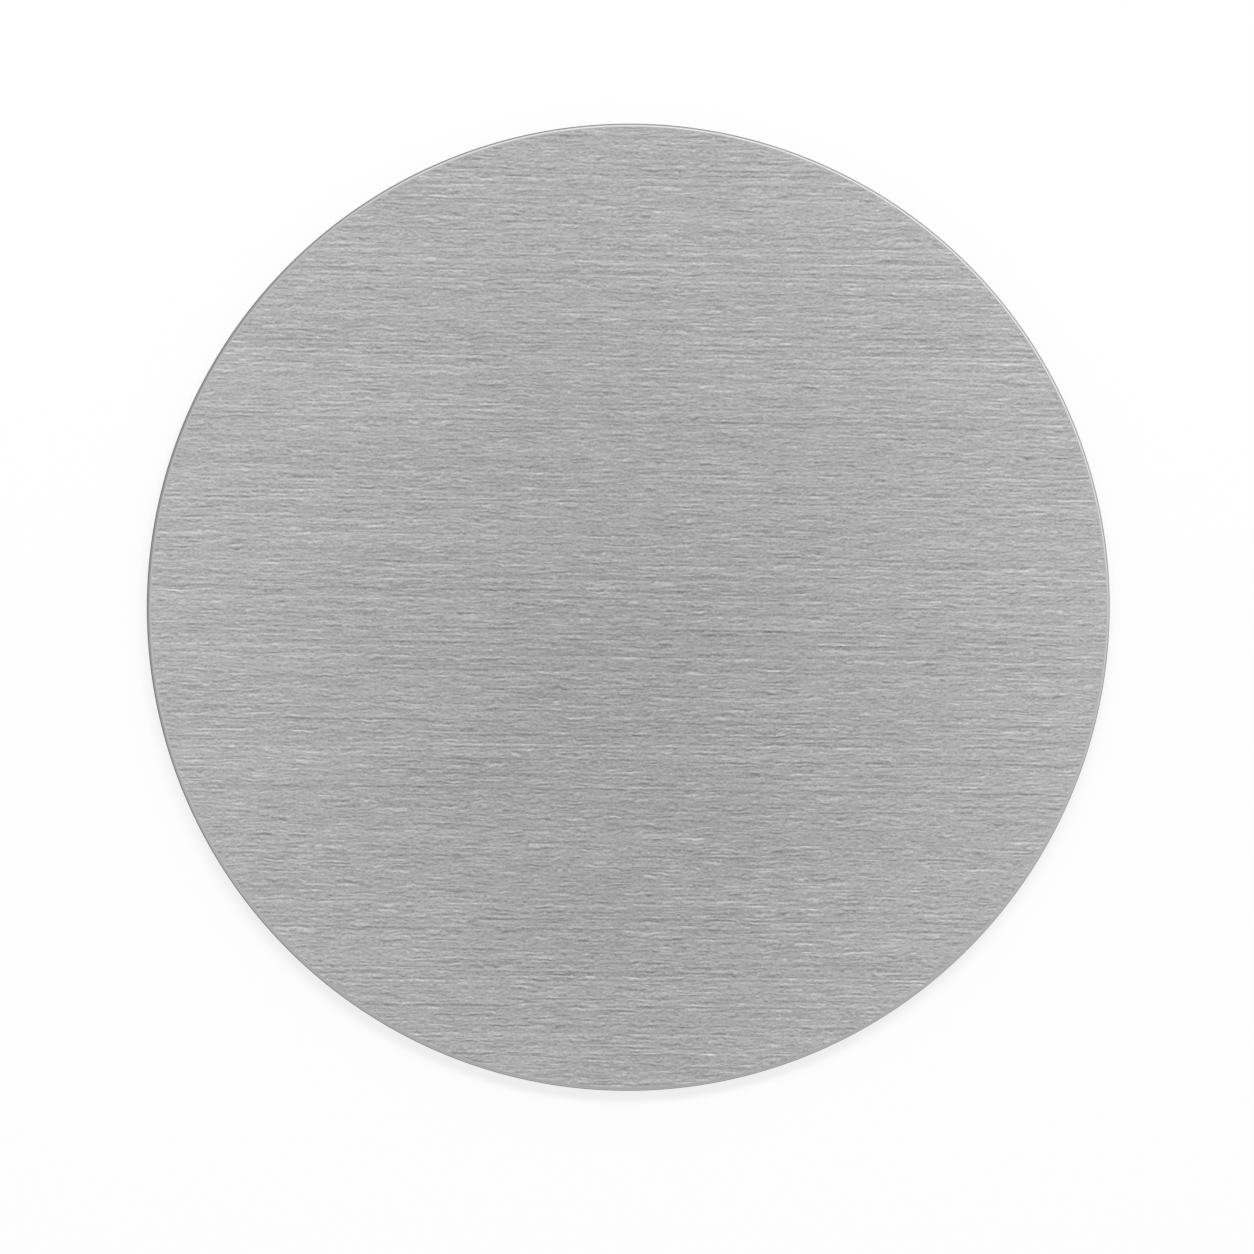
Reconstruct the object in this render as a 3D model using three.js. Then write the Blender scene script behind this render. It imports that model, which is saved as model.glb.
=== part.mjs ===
// A round drink coaster: a brushed stainless steel disc bonded to a foam pad by an adhesive film.
// Millimetres, +Z up, as it lies on a table. The origin is the centre of the underside.
import * as THREE from "three";

// Steel disc
const DISC_DIAMETER = 100;
const DISC_THICKNESS = 1.0;
const RIM_RADIUS = 0.4; // rounds the upper edge, which shows as a bright line round the face
const BURR_RADIUS = 0.15; // breaks the lower edge

// Foam pad
const PAD_THICKNESS = 1.5;
const PAD_SETBACK = 0.5; // from the disc's edge in to the pad's edge
const PAD_EDGE_RADIUS = 0.2; // rounds the pad's lower edge, where it meets the table

// Adhesive film
const FILM_THICKNESS = 0.1;
const FILM_SETBACK = 0.25; // from the pad's edge in to the film's edge, so that no glue shows

// Fineness of the round shapes
const SEGMENTS = 128; // round the axis
const ARC_DIVISIONS = 2; // each rounded edge has twice this many steps

const discRadius = DISC_DIAMETER / 2;
const padRadius = discRadius - PAD_SETBACK;
const filmRadius = padRadius - FILM_SETBACK;

// The layers lie face to face, from the table up.
const padBottom = 0;
const filmBottom = padBottom + PAD_THICKNESS;
const discBottom = filmBottom + FILM_THICKNESS;

const steel = new THREE.MeshStandardMaterial({
  color: 0xa9a9a9,
  roughness: 0.35,
  metalness: 1,
});
const foam = new THREE.MeshStandardMaterial({
  color: 0x2b2b2d,
  roughness: 0.9,
  metalness: 0,
});
const adhesive = new THREE.MeshStandardMaterial({
  color: 0xd9d8d2,
  roughness: 0.5,
  metalness: 0,
});

// Half the section of a flat round layer, from the centre of its underside round its edge to the
// centre of its top. Its edges are square unless given a radius, which half the thickness limits.
function layerSection(radius, thickness, { lowerEdge = 0, upperEdge = 0 } = {}) {
  const lower = Math.min(lowerEdge, thickness / 2);
  const upper = Math.min(upperEdge, thickness / 2);
  const section = new THREE.Path();
  section.moveTo(0, 0);
  section.lineTo(radius - lower, 0);
  section.absarc(radius - lower, lower, lower, -Math.PI / 2, 0);
  section.lineTo(radius, thickness - upper);
  section.absarc(radius - upper, thickness - upper, upper, 0, Math.PI / 2);
  section.lineTo(0, thickness);
  return section.getPoints(ARC_DIVISIONS);
}

// A layer turned from its section, lying flat with its underside at the given height.
function layer(name, section, bottom, material) {
  const mesh = new THREE.Mesh(new THREE.LatheGeometry(section, SEGMENTS), material);
  mesh.name = name;
  mesh.rotation.x = Math.PI / 2;
  mesh.position.z = bottom;
  return mesh;
}

const steelDisc = layer(
  "steel_disc",
  layerSection(discRadius, DISC_THICKNESS, { lowerEdge: BURR_RADIUS, upperEdge: RIM_RADIUS }),
  discBottom,
  steel,
);

const adhesiveFilm = layer(
  "adhesive_film",
  layerSection(filmRadius, FILM_THICKNESS),
  filmBottom,
  adhesive,
);

const foamPad = layer(
  "foam_pad",
  layerSection(padRadius, PAD_THICKNESS, { lowerEdge: PAD_EDGE_RADIUS }),
  padBottom,
  foam,
);

const coaster = new THREE.Group();
coaster.name = "coaster";
coaster.add(steelDisc, adhesiveFilm, foamPad);

export default coaster;
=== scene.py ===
"""The looks of a round drink coaster: a brushed steel disc on a foam pad, seen on its drink face.

Metres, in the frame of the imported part: +Z up, the coaster lying flat, its brush lines along X.
"""

import math

import bmesh
import bpy
from mathutils import Matrix, Vector, noise


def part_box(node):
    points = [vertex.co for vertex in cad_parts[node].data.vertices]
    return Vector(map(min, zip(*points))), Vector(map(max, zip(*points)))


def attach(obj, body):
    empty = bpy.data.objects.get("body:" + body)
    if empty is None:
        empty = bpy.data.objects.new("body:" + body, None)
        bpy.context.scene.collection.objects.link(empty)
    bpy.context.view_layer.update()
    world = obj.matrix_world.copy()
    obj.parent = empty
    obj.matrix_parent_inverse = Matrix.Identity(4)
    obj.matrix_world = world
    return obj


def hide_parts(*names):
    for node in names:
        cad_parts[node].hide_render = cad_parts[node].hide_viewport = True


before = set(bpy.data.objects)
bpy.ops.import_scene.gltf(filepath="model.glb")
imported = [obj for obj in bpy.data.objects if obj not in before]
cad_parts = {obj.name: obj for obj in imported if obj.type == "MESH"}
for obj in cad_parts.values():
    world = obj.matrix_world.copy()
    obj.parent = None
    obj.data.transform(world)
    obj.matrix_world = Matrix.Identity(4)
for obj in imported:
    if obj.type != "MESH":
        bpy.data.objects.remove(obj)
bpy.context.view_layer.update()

MM = 0.001

# Sizes of the layers, from the frame
DISC_LOW, DISC_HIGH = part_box("steel_disc")
FILM_LOW, FILM_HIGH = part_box("adhesive_film")
PAD_LOW, PAD_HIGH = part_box("foam_pad")
DISC_RADIUS = (DISC_HIGH.x - DISC_LOW.x) / 2
FILM_RADIUS = (FILM_HIGH.x - FILM_LOW.x) / 2
PAD_RADIUS = (PAD_HIGH.x - PAD_LOW.x) / 2

# Edges
RIM_ROUNDING = 0.4 * MM
BURR_ROUNDING = 0.15 * MM
PAD_ROUNDING = 0.2 * MM
PAD_BULGE = 0.06 * MM  # how far the foam's cut side swells between the film and the table
PAD_WAVE = 0.035 * MM  # how unevenly the die cut the foam
FILM_WAVE = 0.08 * MM  # how unevenly the film stops short of the pad's edge
WAVES_ROUND = 9  # about how many such waves there are in a radian
SUPPORT = 0.03 * MM  # flat strip beside a rounding that keeps the face's shading flat
SHARP_ANGLE = math.radians(60)  # an edge this steep stays sharp

# Fineness of the meshes
TURN_STEPS = 384
ROUNDING_STEPS = 10
SIDE_STEPS = 8
FACE_RINGS = (0.0, 0.1, 0.25, 0.45, 0.65, 0.82, 0.93, 0.985)  # shares of a flat face's radius

# Round patches of the baked map, for the part of a piece that shows and for its back: middle and radius
FRONT_PATCH = (0.5, 0.49)
BACK_PATCH = (0.072, 0.058)

NOISE_SPAN = (0.3, 0.7)  # where most values of a noise texture lie

# Brushed lines: length and width in millimetres, strength of their tone and of the light and shade
# painted on their sides (which also sets their height), how much of their length they fill, and seed
LINES = (
    (0.25, 0.22, 1.30, 0.00, 3.6, 11.3),
    (0.50, 0.36, 0.60, 1.30, 3.6, 27.9),
    (1.00, 0.48, 0.35, 0.70, 3.6, 34.1),
    (2.00, 0.36, 1.00, 1.85, 2.4, 41.7),
    (4.00, 0.40, 0.90, 1.60, 2.4, 58.1),
    (8.00, 0.40, 0.35, 1.00, 2.4, 63.7),
    (20.0, 1.60, 0.45, 0.00, 3.6, 83.3),
    (400.0, 0.50, 0.50, 1.18, 2.6, 71.9),
)
LINE_SHARPNESS = 3.0  # an odd power, so that dark lines stay dark
LINE_CONTRAST = 0.0457
LINE_BALANCE = 2.2  # the power at which light and dark lines look equally strong
LINE_SHIFT = 7.31  # how far along its noise each line is moved from the last
LINE_STEP = 13.37  # and how far across it
LINE_HEIGHT = 0.0012 * MM
LINE_SLOPE = math.tan(math.radians(0.86))  # how far the lines sink towards +X
LONG_LINE = 5.0  # lines longer than this many millimetres run straight
# Waves in the shorter lines: length and width in millimetres, seed, and how far they push a line
WAVES = (
    (4.0, 1.2, 3.1, 0.22),
    (1.2, 0.7, 13.1, 0.09),
)

# Steel: reflectance and roughness of its brushed face, polished rim and cut edge
STEEL = 0.528
STEEL_ROUGHNESS = (0.24, 0.34)
SHADE_RANGE = 4.0  # strength of the lines that takes the roughness from end to end
RIM_STEEL = 0.53
RIM_ROUGHNESS = 0.2
# the cut edge's low reflectance is partly duller sheared steel and partly painted shade, for a dark line
# round the rim
CUT_STEEL_WITH_PAINTED_SHADE = 0.17
CUT_ROUGHNESS = 0.42
CUT_START = (0.115, 0.200)  # millimetres below the face where the cut edge takes over from the rim
CUT_MARKS = (8.0, 8.0, 0.7)  # marks of the die, per millimetre round the edge and up it
CUT_MARK_DETAIL = 2.0
CUT_MARK_SHADE = 0.2  # how far the marks lighten or darken the cut edge, as a share
CUT_MARK_DEPTH = 1.5  # of a brushed line's height
SHINE_STRETCH = 0.5  # how far the brushing draws out the shine
SHINE_TURN = 0.25  # of a turn, so that it is drawn out across the lines

# Film: clouds per millimetre, and what they change
FILM_CLOUDS = 0.6
FILM_CLOUD_DETAIL = 4.0
FILM_RED_AND_GREEN = (0.75, 0.85)
FILM_BLUE = 0.72
FILM_ROUGHNESS = (0.35, 0.5)

# Foam: cells and patches of dust per millimetre, and what they change
FOAM_CELLS = 4.0
CELL_WALL = (0.1, 0.6)  # where a cell's wall rises, in cells from its middle
CELL_SHADE = 0.6  # painted shade: how dark a cell's middle, down in its pit, is beside its wall
CELL_DEPTH = 0.04 * MM
FOAM_ROUGHNESS = (0.95, 0.8)  # in a cell's middle and on its wall
DUST = 0.35
DUST_DETAIL = 5.0
DUST_SPAN = (0.25, 0.75)
FOAM_LEVEL = (0.026, 0.046)  # reflectance where clean and where dusty

# The photograph's framing
LENS = 400.0
SENSOR = 36.0
CAMERA_TILT_X = -0.0985  # slope of the line of sight: the camera stands left of the axis
CAMERA_TILT_Y = 0.0194  # and a little above it
CAMERA_AIM = Vector((-0.347 * MM, -2.002 * MM, DISC_HIGH.z))
CAMERA_DISTANCE = 1440.0 * MM
CAMERA_CLIP_START = 10.0 * MM

# Surroundings that the steel mirrors: white, a little dimmer above the horizon. Angles are in degrees
STUDIO_LEVEL = 0.9  # of white, above the horizon
HORIZON = (0, 4)  # where the white ends
# A bright, a dark and a dim screen round the coaster: their level, turn about Z and spread to either side,
# and the angles above the horizon between which they fade in and fade out
SCREENS = (
    (2.1, 60, 80, (12, 26), (35, 60)),
    (0.42, 166, 55, (0, 10), (22, 42)),
    (0.78, 270, 80, (0, 10), (55, 75)),
)

# An oval grey flag over the coaster, which only the steel mirrors
FLAG_HEIGHT = 100 * MM
FLAG_MIDDLE_X = 8 * MM
FLAG_MIDDLE_Y = -17 * MM
FLAG_HALF_WIDTH = 73 * MM
FLAG_HALF_LENGTH = 88 * MM
FLAG_LEVEL = 0.71  # of the light that passes its middle

# Light on matt surfaces, in metres and watts
FILL_LEVEL = 0.3  # of white, from all round
KEY_DIRECTION = Vector((0.00, 0.45, 0.89)).normalized()
KEY_DISTANCE = 1.2
KEY_WIDTH = 0.9
KEY_DEPTH = 0.3
KEY_POWER = 12.5

# Floor
STAGE_STEPS = 96
FLOOR_LEVEL = 0.93  # reflectance
FLOOR_RADIUS = 0.20
FLOOR_FADE = 0.11  # the floor fades into the white from here out to its radius
FLOOR_LIFT = 0.82  # how far it is lifted to white where it is looked at
SINKING = 0.02 * MM  # how far the foam settles into the floor


# Nodes


def add_node(tree, kind, inputs=None, **settings):
    """Adds a node with its settings, and sets or links its inputs by name or number."""
    made = tree.nodes.new(kind)
    for name, value in settings.items():
        setattr(made, name, value)
    for key, value in (inputs or {}).items():
        if isinstance(value, bpy.types.NodeSocket):
            tree.links.new(value, made.inputs[key])
        else:
            made.inputs[key].default_value = value
    return made


def calculate(tree, operation, *values):
    """A Math node's result."""
    return add_node(tree, "ShaderNodeMath", dict(enumerate(values)), operation=operation).outputs[0]


def remap(tree, value, low, high, to_low=0.0, to_high=1.0, curve="SMOOTHSTEP"):
    """A value moved from one range to another, held at the ends."""
    inputs = {"Value": value, "From Min": low, "From Max": high, "To Min": to_low, "To Max": to_high}
    return add_node(tree, "ShaderNodeMapRange", inputs, interpolation_type=curve).outputs[0]


def between(tree, amount, first, second):
    """A number between two others."""
    return add_node(tree, "ShaderNodeMix", {0: amount, 2: first, 3: second}).outputs[0]


def grey(tree, level):
    """A grey of this level."""
    return add_node(tree, "ShaderNodeCombineColor", {0: level, 1: level, 2: level}).outputs[0]


def distance_out(tree, x, y):
    """How far a point is from the axis."""
    squares = calculate(tree, "MULTIPLY_ADD", x, x, calculate(tree, "MULTIPLY", y, y))
    return calculate(tree, "SQRT", squares)


def place_in_mm(tree):
    """The point on the object in millimetres, as a vector and as its X, Y and Z."""
    point = add_node(tree, "ShaderNodeTexCoord").outputs["Object"]
    inputs = {0: point, "Scale": 1 / MM}
    place = add_node(tree, "ShaderNodeVectorMath", inputs, operation="SCALE").outputs[0]
    return place, *add_node(tree, "ShaderNodeSeparateXYZ", {0: place}).outputs


def speckle(tree, place, scale, detail):
    """Noise, between 0 and 1."""
    inputs = {"Vector": place, "Scale": scale, "Detail": detail}
    return add_node(tree, "ShaderNodeTexNoise", inputs).outputs["Fac"]


def noise_at(tree, along, across):
    """Smooth noise in two dimensions, between -1 and 1."""
    place = add_node(tree, "ShaderNodeCombineXYZ", {0: along, 1: across}).outputs[0]
    inputs = {"Vector": place, "Scale": 1.0, "Detail": 0.0}
    marks = add_node(tree, "ShaderNodeTexNoise", inputs, noise_dimensions="2D").outputs["Fac"]
    return calculate(tree, "MULTIPLY_ADD", marks, 2.0, -1.0)


def streaks(tree, x, y, length, width, seed):
    """Noise drawn out along X into marks of about this length and width, between -1 and 1."""
    along = calculate(tree, "MULTIPLY_ADD", x, 1 / length, seed)
    return noise_at(tree, along, calculate(tree, "MULTIPLY_ADD", y, 1 / width, seed))


def brush_noise(tree, x, y, length, width, seed):
    """Noise along each of the lines that lie across Y, and the turn across a line."""
    lines = calculate(tree, "MULTIPLY_ADD", y, 1 / width, seed)
    line = calculate(tree, "FLOOR", lines)
    along = calculate(tree, "MULTIPLY_ADD", line, LINE_SHIFT, calculate(tree, "DIVIDE", x, length))
    across = calculate(tree, "MULTIPLY_ADD", line, LINE_STEP, seed)
    return noise_at(tree, along, across), calculate(tree, "MULTIPLY", lines, math.tau)


def crown(tree, turn):
    """The rounded section of a line, from its turn: 0 at its sides, 1 in the middle."""
    return calculate(tree, "MULTIPLY_ADD", calculate(tree, "COSINE", turn), -0.5, 0.5)


def brushed_lines(tree, x, straight, wavy):
    """How much lighter than the steel the brushed lines are, with light and shade painted on their sides,
    and how high they stand.
    """
    tone_and_painted_shade = 0.0
    height = 0.0
    for length, width, tone, side, fill, seed in LINES:
        across = straight if length > LONG_LINE else wavy
        level, turn = brush_noise(tree, x, across, length, width, seed)
        level = calculate(tree, "POWER", calculate(tree, "MULTIPLY", level, fill), LINE_SHARPNESS)
        level = calculate(tree, "TANH", level)
        section = crown(tree, turn)
        # painted light and shade: each line is lighter on one side and darker on the other
        lit = calculate(tree, "MULTIPLY", calculate(tree, "SINE", turn), side)
        lit = calculate(tree, "MULTIPLY_ADD", section, tone, lit)
        tone_and_painted_shade = calculate(tree, "MULTIPLY_ADD", level, lit, tone_and_painted_shade)
        height = calculate(tree, "MULTIPLY_ADD", level, calculate(tree, "MULTIPLY", section, side), height)
    return tone_and_painted_shade, height


def new_material(name):
    """A new material, its nodes and its Principled shader."""
    material = bpy.data.materials.new(name)
    material.use_nodes = True
    return material, material.node_tree, material.node_tree.nodes["Principled BSDF"]


# Materials


def steel_material():
    """Stainless steel brushed along X, with a polished rim and a cut edge that is duller and darkened by
    painted shade.
    """
    material, tree, shader = new_material("brushed_steel")
    place, x, y, z = place_in_mm(tree)

    # Brushed face: each line has a tone of its own, with painted light on one side and painted shade on
    # the other
    straight = calculate(tree, "MULTIPLY_ADD", x, LINE_SLOPE, y)
    wavy = straight
    for length, width, seed, push in WAVES:
        wavy = calculate(tree, "MULTIPLY_ADD", streaks(tree, x, straight, length, width, seed), push, wavy)
    tone_and_painted_shade, line_height = brushed_lines(tree, x, straight, wavy)
    # the steel's colour carries the lines' tone and their painted light and shade
    lightness = calculate(tree, "MULTIPLY_ADD", tone_and_painted_shade, LINE_CONTRAST, 1.0)
    lightness = calculate(tree, "POWER", lightness, LINE_BALANCE)
    face = calculate(tree, "MULTIPLY", lightness, STEEL)
    face_roughness = remap(tree, tone_and_painted_shade, -SHADE_RANGE, SHADE_RANGE, *STEEL_ROUGHNESS, curve="LINEAR")

    # Rim, and cut edge darkened partly as duller sheared steel and partly by painted shade
    rim_start = (DISC_RADIUS - RIM_ROUNDING - SUPPORT) / MM
    on_rim = remap(tree, distance_out(tree, x, y), rim_start, rim_start + 2 * SUPPORT / MM)
    depth = calculate(tree, "SUBTRACT", DISC_HIGH.z / MM, z)
    on_cut = remap(tree, depth, *CUT_START)
    inputs = {0: place, 1: CUT_MARKS}
    stretched = add_node(tree, "ShaderNodeVectorMath", inputs, operation="MULTIPLY").outputs[0]
    marks = speckle(tree, stretched, 1.0, CUT_MARK_DETAIL)
    # painted shade: the cut edge is much darker than the steel, lightened and darkened a little by die
    # marks
    darkest = CUT_STEEL_WITH_PAINTED_SHADE * (1 - CUT_MARK_SHADE)
    lightest = CUT_STEEL_WITH_PAINTED_SHADE * (1 + CUT_MARK_SHADE)
    cut = remap(tree, marks, *NOISE_SPAN, darkest, lightest)
    edge = between(tree, on_cut, RIM_STEEL, cut)
    edge_roughness = between(tree, on_cut, RIM_ROUGHNESS, CUT_ROUGHNESS)
    tree.links.new(grey(tree, between(tree, on_rim, face, edge)), shader.inputs["Base Color"])
    tree.links.new(between(tree, on_rim, face_roughness, edge_roughness), shader.inputs["Roughness"])

    # Relief
    edge_height = calculate(tree, "MULTIPLY", calculate(tree, "MULTIPLY", marks, CUT_MARK_DEPTH), on_cut)
    height = between(tree, on_rim, line_height, edge_height)
    relief = add_node(tree, "ShaderNodeBump", {"Strength": 1.0, "Distance": LINE_HEIGHT, "Height": height})
    tree.links.new(relief.outputs[0], shader.inputs["Normal"])

    # Shine, drawn out across the grooves
    shader.inputs["Metallic"].default_value = 1.0
    shader.inputs["Anisotropic"].default_value = SHINE_STRETCH
    shader.inputs["Anisotropic Rotation"].default_value = SHINE_TURN
    tangent = add_node(tree, "ShaderNodeTangent", direction_type="UV_MAP", uv_map="Brush")
    tree.links.new(tangent.outputs[0], shader.inputs["Tangent"])
    return material


def film_material():
    """Milky acrylic transfer adhesive."""
    material, tree, shader = new_material("acrylic_adhesive")
    place = place_in_mm(tree)[0]
    clouds = speckle(tree, place, FILM_CLOUDS, FILM_CLOUD_DETAIL)
    level = remap(tree, clouds, *NOISE_SPAN, *FILM_RED_AND_GREEN)
    colour = add_node(tree, "ShaderNodeCombineColor", {0: level, 1: level, 2: FILM_BLUE}).outputs[0]
    tree.links.new(colour, shader.inputs["Base Color"])
    tree.links.new(remap(tree, clouds, *NOISE_SPAN, *FILM_ROUGHNESS), shader.inputs["Roughness"])
    return material


def foam_material():
    """Black closed-cell foam: fine cells, some of them open, under a dusty skin, with painted shade in
    each cell's pit.
    """
    material, tree, shader = new_material("eva_foam")
    place = place_in_mm(tree)[0]
    cells = add_node(tree, "ShaderNodeTexVoronoi", {"Vector": place, "Scale": FOAM_CELLS})
    walls = remap(tree, cells.outputs["Distance"], *CELL_WALL)
    dust = speckle(tree, place, DUST, DUST_DETAIL)
    level = remap(tree, dust, *DUST_SPAN, *FOAM_LEVEL)
    # painted shade: darker in the middle of each cell, where it sinks into a pit
    level = calculate(tree, "MULTIPLY", level, remap(tree, walls, 0.0, 1.0, CELL_SHADE, 1.0))
    tree.links.new(grey(tree, level), shader.inputs["Base Color"])
    tree.links.new(remap(tree, walls, 0.0, 1.0, *FOAM_ROUGHNESS), shader.inputs["Roughness"])
    relief = add_node(tree, "ShaderNodeBump", {"Strength": 1.0, "Distance": CELL_DEPTH, "Height": walls})
    tree.links.new(relief.outputs[0], shader.inputs["Normal"])
    return material


# Shapes


def flat(edge, height):
    """Points of a flat face's section, from the axis to just short of its edge."""
    return [(edge * share, height) for share in FACE_RINGS] + [(edge - SUPPORT, height)]


def rounding(centre_out, centre_up, radius, start, end):
    """Points of a rounded edge's section, by angle from the outward direction."""
    points = []
    for step in range(ROUNDING_STEPS + 1):
        angle = start + (end - start) * step / ROUNDING_STEPS
        points.append((centre_out + radius * math.cos(angle), centre_up + radius * math.sin(angle)))
    return points


def disc_section():
    """Half the steel disc's section: the drink face and the edge, then the underside."""
    rim = DISC_RADIUS - RIM_ROUNDING
    burr = DISC_RADIUS - BURR_ROUNDING
    front = flat(rim, DISC_HIGH.z)
    front += rounding(rim, DISC_HIGH.z - RIM_ROUNDING, RIM_ROUNDING, math.pi / 2, 0)
    front += rounding(burr, DISC_LOW.z + BURR_ROUNDING, BURR_ROUNDING, 0, -math.pi / 2)
    return front, flat(burr, DISC_LOW.z)[::-1]


def film_section():
    """Half the film's section: its top and edge, then its underside."""
    front = flat(FILM_RADIUS, FILM_HIGH.z) + [(FILM_RADIUS, FILM_HIGH.z), (FILM_RADIUS, FILM_LOW.z)]
    return front, flat(FILM_RADIUS, FILM_LOW.z)[::-1]


def pad_section():
    """Half the foam pad's section: its underside and swelling side, then its top."""
    corner = PAD_RADIUS - PAD_ROUNDING
    side_low = PAD_LOW.z + PAD_ROUNDING
    front = flat(corner, PAD_LOW.z)
    front += rounding(corner, side_low, PAD_ROUNDING, -math.pi / 2, 0)
    for step in range(1, SIDE_STEPS + 1):
        share = step / SIDE_STEPS
        swell = PAD_BULGE * math.sin(math.pi * share)
        front.append((PAD_RADIUS + swell, side_low + (PAD_HIGH.z - side_low) * share))
    return front, flat(PAD_RADIUS, PAD_HIGH.z)[::-1]


def add_ring(form, radius, height, wave):
    """A point of the section turned round Z, uneven by the wave at the edge."""
    ring = []
    at_edge = radius > PAD_RADIUS * FACE_RINGS[-1]
    for step in range(TURN_STEPS if radius > 0 else 1):
        turn = math.tau * step / TURN_STEPS
        direction = Vector((math.cos(turn), math.sin(turn), 0))
        up = Vector((0, 0, height))
        uneven = wave * noise.noise(direction * WAVES_ROUND + up / MM) if at_edge else 0.0
        ring.append(form.verts.new(direction * (radius + uneven) + up))
    return ring


def join_rings(form, inner, outer):
    """The faces between two rings, either of which may be one point on the axis."""
    faces = []
    for step in range(TURN_STEPS):
        corners = [inner[step % len(inner)], outer[step % len(outer)]]
        corners += [outer[(step + 1) % len(outer)], inner[(step + 1) % len(inner)]]
        faces.append(form.faces.new(list(dict.fromkeys(corners))))
    return faces


def on_patch(patch, share, turn):
    """A point in a round patch of a map, this share of its radius out."""
    middle, radius = patch
    return middle + radius * share * math.cos(turn), middle + radius * share * math.sin(turn)


def turned(name, section, material, wave=0.0):
    """A piece turned round Z from the two parts of its section: the part that shows, and the back.

    The map OFBake holds the part that shows unrolled to a disc, and the back as a small disc in a
    corner. The map Brush runs along X on flat faces and round the axis on edges.
    """
    front, back = section
    points = front + back
    form = bmesh.new()
    bake = form.loops.layers.uv.new("OFBake")
    brush = form.loops.layers.uv.new("Brush")
    rings = [add_ring(form, radius, height, wave) for radius, height in points]
    lengths = [0.0]
    for (radius, height), (next_radius, next_height) in zip(points, points[1:]):
        lengths.append(lengths[-1] + math.hypot(next_radius - radius, next_height - height))
    front_length = lengths[len(front) - 1]
    along = {}
    for ring, length in zip(rings, lengths):
        for vert in ring:
            along[vert] = length
    for index in range(len(points) - 1):
        is_back = index >= len(front) - 1
        is_flat = points[index][1] == points[index + 1][1]
        for step, face in enumerate(join_rings(form, rings[index], rings[index + 1])):
            face.smooth = True
            middle = math.tau * (step + 0.5) / TURN_STEPS
            for loop in face.loops:
                spot = loop.vert.co
                turn = middle + math.remainder(math.atan2(spot.y, spot.x) - middle, math.tau)
                if is_back:
                    loop[bake].uv = on_patch(BACK_PATCH, spot.xy.length / DISC_RADIUS, turn)
                else:
                    loop[bake].uv = on_patch(FRONT_PATCH, along[loop.vert] / front_length, turn)
                if is_flat:
                    loop[brush].uv = spot.xy / DISC_RADIUS
                else:
                    loop[brush].uv = (turn, along[loop.vert] / DISC_RADIUS)
    for edge in form.edges:
        edge.smooth = edge.calc_face_angle() < SHARP_ANGLE
    bmesh.ops.recalc_face_normals(form, faces=form.faces)
    mesh = bpy.data.meshes.new(name)
    form.to_mesh(mesh)
    form.free()
    mesh.materials.append(material)
    piece = bpy.data.objects.new(name, mesh)
    bpy.context.scene.collection.objects.link(piece)
    return piece


def dress(piece, node):
    """Lets a piece stand for a CAD node."""
    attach(piece, "root")
    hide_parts(node)


# Stage


def round_sheet(name, radius, material):
    """A round flat sheet of the stage, level and with its middle at the origin."""
    form = bmesh.new()
    bmesh.ops.create_circle(form, cap_ends=True, radius=radius, segments=STAGE_STEPS)
    mesh = bpy.data.meshes.new(name)
    form.to_mesh(mesh)
    form.free()
    mesh.materials.append(material)
    sheet = bpy.data.objects.new(name, mesh)
    bpy.context.scene.collection.objects.link(sheet)
    return sheet


def floor_material():
    """Matt white, lifted towards plain white where it is looked at."""
    material, tree, _ = new_material("pale_floor")
    tree.nodes.clear()
    _, x, y, _ = place_in_mm(tree)
    shown = remap(tree, distance_out(tree, x, y), FLOOR_RADIUS / MM, FLOOR_FADE / MM)
    behind = add_node(tree, "ShaderNodeNewGeometry").outputs["Backfacing"]
    shown = calculate(tree, "MULTIPLY", shown, calculate(tree, "SUBTRACT", 1.0, behind))
    colour = (FLOOR_LEVEL, FLOOR_LEVEL, FLOOR_LEVEL, 1.0)
    lit = add_node(tree, "ShaderNodeBsdfDiffuse", {"Color": colour}).outputs[0]
    inputs = {"Color": (1.0, 1.0, 1.0, 1.0), "Strength": 1.0}
    white = add_node(tree, "ShaderNodeEmission", inputs).outputs[0]
    ray = add_node(tree, "ShaderNodeLightPath").outputs
    looked_at = calculate(tree, "MAXIMUM", ray["Is Camera Ray"], ray["Is Glossy Ray"])
    looked_at = calculate(tree, "MAXIMUM", looked_at, ray["Is Transmission Ray"])
    lift = calculate(tree, "MULTIPLY", looked_at, FLOOR_LIFT)
    surface = add_node(tree, "ShaderNodeMixShader", {0: lift, 1: lit, 2: white}).outputs[0]
    clear = add_node(tree, "ShaderNodeBsdfTransparent").outputs[0]
    mixed = add_node(tree, "ShaderNodeMixShader", {0: shown, 1: clear, 2: surface}).outputs[0]
    add_node(tree, "ShaderNodeOutputMaterial", {"Surface": mixed})
    return material


def make_floor():
    """A round pale mat that fades into the white round it, and shows only from above."""
    floor = round_sheet("floor", FLOOR_RADIUS, floor_material())
    floor.location.z = PAD_LOW.z + SINKING


def heights(angles):
    """How high directions at these angles above the horizon point."""
    return [math.sin(math.radians(angle)) for angle in angles]


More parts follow.
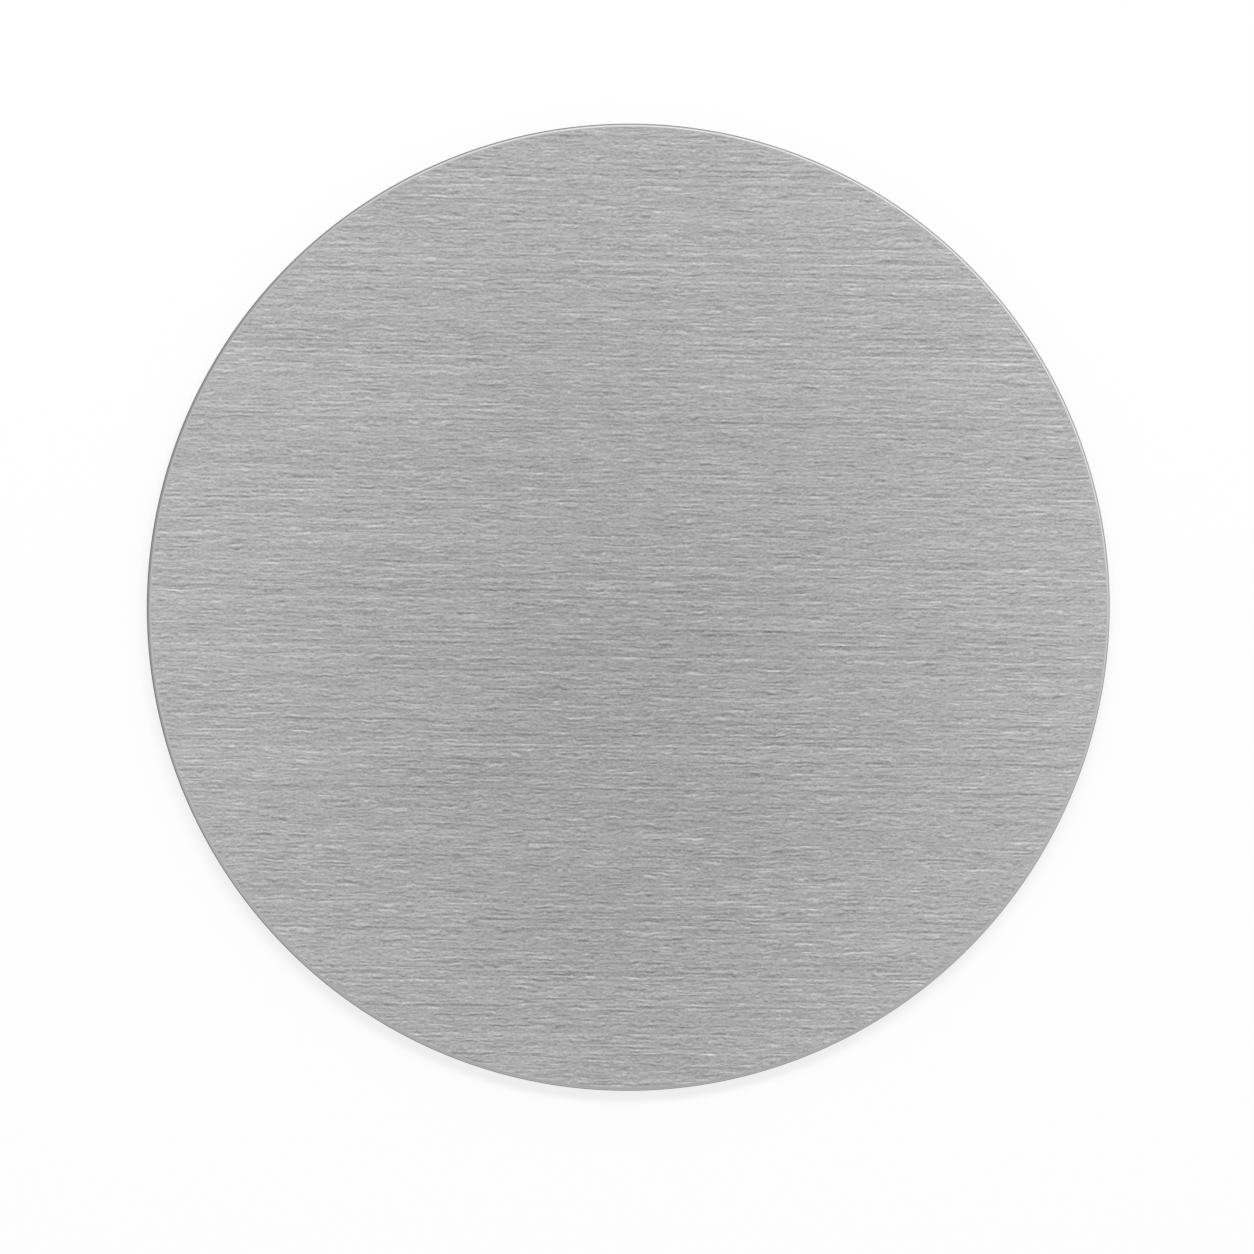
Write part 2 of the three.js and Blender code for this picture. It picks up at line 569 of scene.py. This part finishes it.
def make_world():
    """A white studio, with screens for the steel to mirror."""
    world = bpy.data.worlds.new("studio")
    bpy.context.scene.world = world
    world.use_nodes = True
    tree = world.node_tree
    direction = add_node(tree, "ShaderNodeTexCoord").outputs["Generated"]
    x, y, z = add_node(tree, "ShaderNodeSeparateXYZ", {0: direction}).outputs
    level = remap(tree, z, *heights(HORIZON), 1.0, STUDIO_LEVEL)

    for screen_level, turn, spread, foot, top in SCREENS:
        turn = math.radians(turn)
        along = calculate(tree, "MULTIPLY", x, math.cos(turn))
        along = calculate(tree, "MULTIPLY_ADD", y, math.sin(turn), along)
        facing = calculate(tree, "DIVIDE", along, distance_out(tree, x, y))
        on_screen = remap(tree, facing, math.cos(math.radians(spread)), 1.0)
        on_screen = calculate(tree, "MULTIPLY", on_screen, remap(tree, z, *heights(foot)))
        on_screen = calculate(tree, "MULTIPLY", on_screen, remap(tree, z, *heights(top), 1.0, 0.0))
        level = calculate(tree, "MULTIPLY", level, between(tree, on_screen, 1.0, screen_level))

    background = tree.nodes["Background"]
    on_matt = add_node(tree, "ShaderNodeLightPath").outputs["Is Diffuse Ray"]
    tree.links.new(between(tree, on_matt, level, FILL_LEVEL), background.inputs["Strength"])
    background.inputs["Color"].default_value = (1.0, 1.0, 1.0, 1.0)


def flag_material():
    """Sheer cloth, thickest in the middle."""
    material, tree, _ = new_material("flag_cloth")
    tree.nodes.clear()
    place = add_node(tree, "ShaderNodeTexCoord").outputs["Object"]
    x, y, _ = add_node(tree, "ShaderNodeSeparateXYZ", {0: place}).outputs
    passed = remap(tree, distance_out(tree, x, y), 0.0, 1.0, FLAG_LEVEL, 1.0)
    cloth = add_node(tree, "ShaderNodeBsdfTransparent", {"Color": grey(tree, passed)}).outputs[0]
    add_node(tree, "ShaderNodeOutputMaterial", {"Surface": cloth})
    return material


def make_flag():
    """A flag over the coaster that dims the middle of what the steel mirrors, and nothing else."""
    flag = round_sheet("flag", 1.0, flag_material())
    flag.location = (FLAG_MIDDLE_X, FLAG_MIDDLE_Y, FLAG_HEIGHT)
    flag.scale = (FLAG_HALF_WIDTH, FLAG_HALF_LENGTH, 1.0)
    flag.visible_camera = False
    flag.visible_diffuse = False
    flag.visible_transmission = False
    flag.visible_shadow = False


def make_key_lamp():
    """A wide soft lamp that throws the coaster's shadow, and that the steel doesn't mirror."""
    light = bpy.data.lights.new("key", "AREA")
    light.shape = "RECTANGLE"
    light.size = KEY_WIDTH
    light.size_y = KEY_DEPTH
    light.energy = KEY_POWER
    lamp = bpy.data.objects.new("key", light)
    lamp.location = KEY_DIRECTION * KEY_DISTANCE
    lamp.rotation_euler = KEY_DIRECTION.to_track_quat("Z", "Y").to_euler()
    lamp.visible_glossy = False
    bpy.context.scene.collection.objects.link(lamp)


def make_camera():
    """The photograph's view: down on the drink face, from a little to the left."""
    lens = bpy.data.cameras.new("camera")
    lens.lens = LENS
    lens.sensor_width = SENSOR
    lens.clip_start = CAMERA_CLIP_START
    camera = bpy.data.objects.new("camera", lens)
    sight = Vector((CAMERA_TILT_X, CAMERA_TILT_Y, 1.0)).normalized()
    right = Vector((0, 1, 0)).cross(sight).normalized()
    camera.location = CAMERA_AIM + sight * CAMERA_DISTANCE
    camera.rotation_euler = Matrix((right, sight.cross(right), sight)).transposed().to_euler()
    bpy.context.scene.collection.objects.link(camera)
    bpy.context.scene.camera = camera


# The coaster on its stage

make_camera()
make_floor()
make_world()
make_flag()
make_key_lamp()

dress(turned("steel_plate", disc_section(), steel_material()), "steel_disc")
dress(turned("glue_film", film_section(), film_material(), FILM_WAVE), "adhesive_film")
pad = turned("non_slip_pad", pad_section(), foam_material(), PAD_WAVE)
dress(pad, "foam_pad")

bpy.context.scene.view_settings.view_transform = "Standard"
